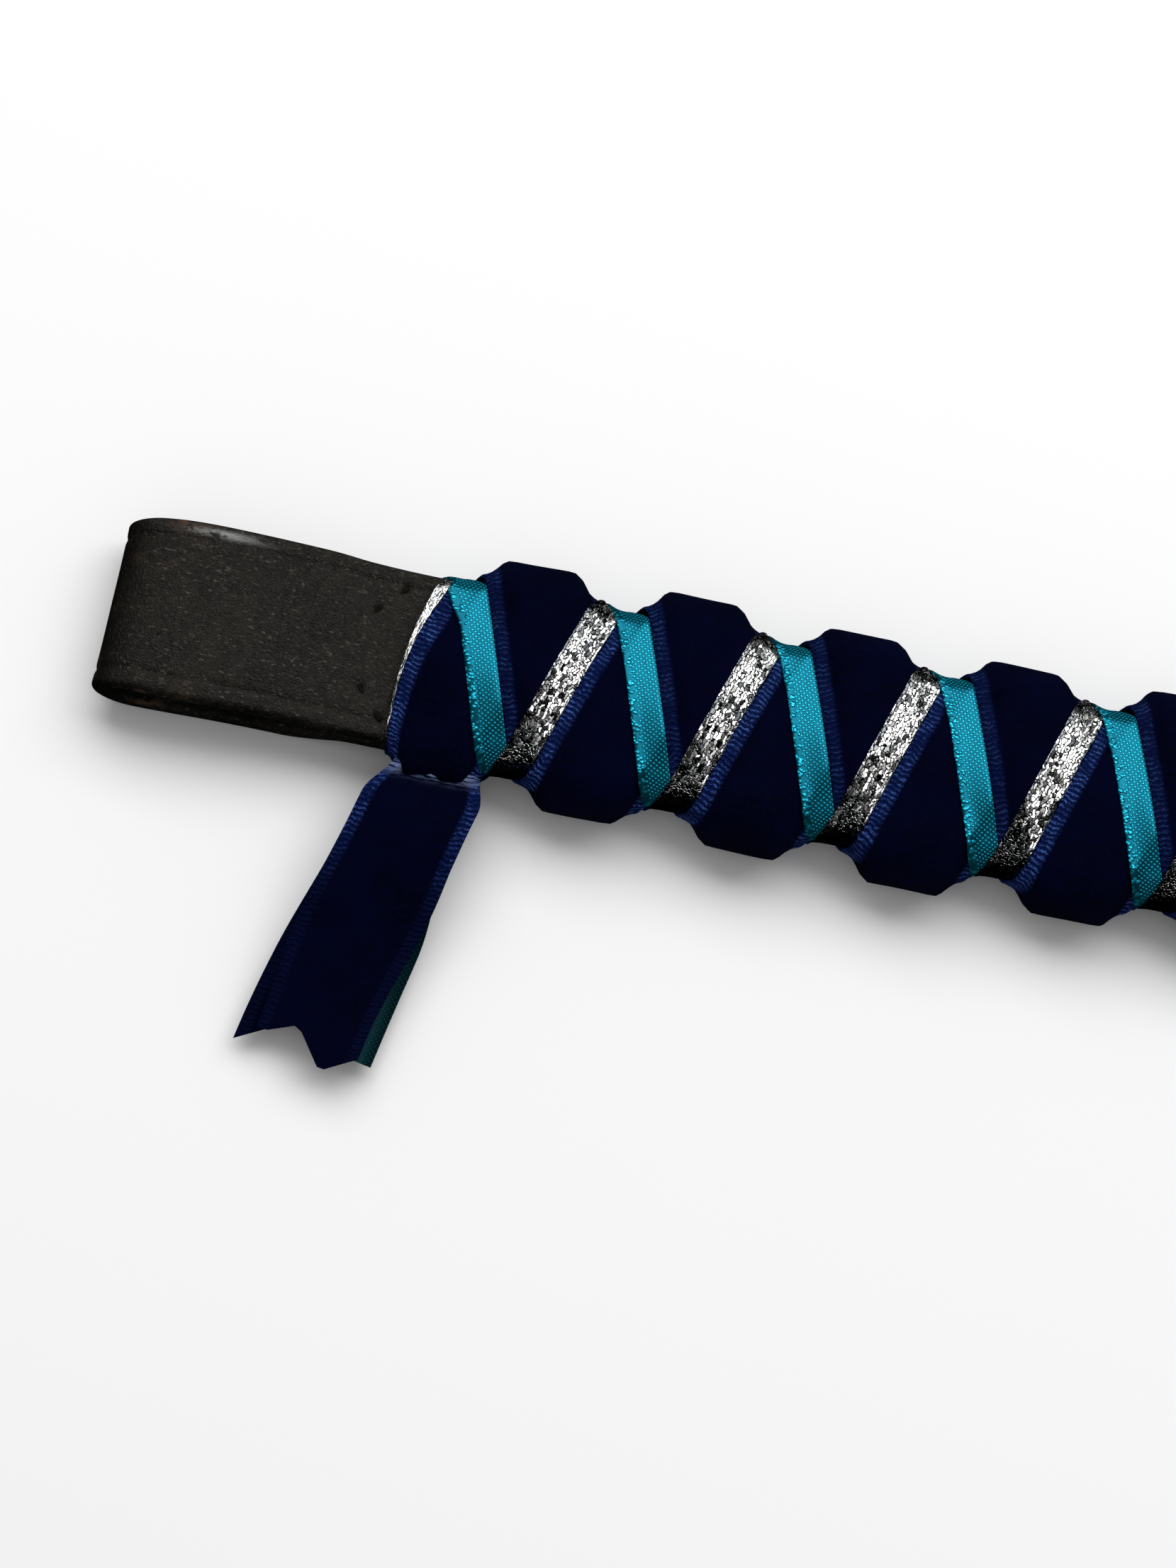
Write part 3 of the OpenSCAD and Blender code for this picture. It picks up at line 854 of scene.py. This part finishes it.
def tail_piece(name, side, edge_low, edge_high, depth, end_at, top_at, columns, material, shift):
    """One layer of a tail: end_at gives how far down it ends at each place across."""
    v = np.linspace(0, 1, TAIL_ROWS)[:, None]
    end = end_at(columns)[None, :]
    fall = TAIL_START + (end - TAIL_START) * v
    across = edge_low + (edge_high - edge_low) * columns[None, :] + shift(fall, columns[None, :])
    width = width_of(edge_low, edge_high)
    if width == NARROW_W:
        depth = depth + 0.9 * columns[None, :] ** 2
    elif depth > 0:
        depth = depth + 0.85 * smooth(across, 0.25, 0.9)
    ribbon = np.broadcast_to(columns[None, :] * width, fall.shape)
    t = top_at(ribbon)
    outer = tail_surface(side, across, fall, depth)
    inner = tail_surface(side, across, fall, depth + t)
    # Where the painted sheen of the waist crease goes
    crease = np.exp(-((fall - 13.3) / 0.8) ** 2)
    # Painted light: the tails' highlights fade towards the bottom, which is painted darker
    glint = 0.05 + 0.70 * (1 - smooth(fall, 20, 33))
    # Painted shade: the left tail's satin, under the front velvet, is painted almost black
    if width == NARROW_W and side < 0:
        glint = np.full_like(fall, 0.10)
    attributes = {"across": ribbon, "along": fall, "crease": crease, "glint": glint}
    return shell(name, outer, inner, attributes, material)


# How far below the band's middle each layer of a tail ends, at a place across it from 0 to 1

def front_end(w):
    return np.interp(w, [0, 0.10, 0.36, 0.70, 0.94, 1.0], [47.6, 47.9, 46.6, 51.4, 49.6, 49.2])


def back_end(w):
    return np.interp(w, [0, 0.5, 1.0], [49.8, 45.6, 49.0])


def narrow_end(w):
    return 49.2 + 0.8 * w


def build_tails():
    wide = velvet_columns()
    thin = np.linspace(0, 1, 9)
    for side, word in ((-1, "left"), (1, "right")):
        narrow_node, narrow_mat, narrow_slot = (
            ("satin", SATIN, "teal_satin") if side < 0 else ("lame", LAME, "silver_lame")
        )
        layers = [
            ("velvet_front", -1.0, 1.0, 0.0, front_end, velvet_top, wide, VELVET, "navy_velvet",
             lambda f, w: -0.20 * w * smooth(f, 27, 46) + 0.15 * (1 - w) * smooth(f, 30, 48)),
            (narrow_node, 0.55, 1.02, 1.35, narrow_end, narrow_top, thin, narrow_mat, narrow_slot,
             lambda f, w: -0.30 * (1 - smooth(f, 16, 36))),
            ("velvet_back", -1.0, 1.0, 1.85, back_end, velvet_top, wide, VELVET, "navy_velvet",
             lambda f, w: -0.13 * smooth(f, 22, 48) - 0.12 * w * smooth(f, 22, 48)),
        ]
        for node, low, high, depth, end, top, columns, material, slot, shift in layers:
            piece = tail_piece(
                word + "_end_" + node, side, low, high, depth, end, top, columns, material, shift
            )
            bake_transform(piece)
            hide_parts(word + "_tail_" + node)


build_tails()

# ---- Stitches, which stay as the CAD has them ----

for name in (
    "left_loop_stitches",
    "right_loop_stitches",
    "left_tack_stitches",
    "right_tack_stitches",
):
    stitches = bpy.data.objects[name]
    for place in stitches.material_slots:
        place.material = THREAD
    if not stitches.material_slots:
        stitches.data.materials.append(THREAD)
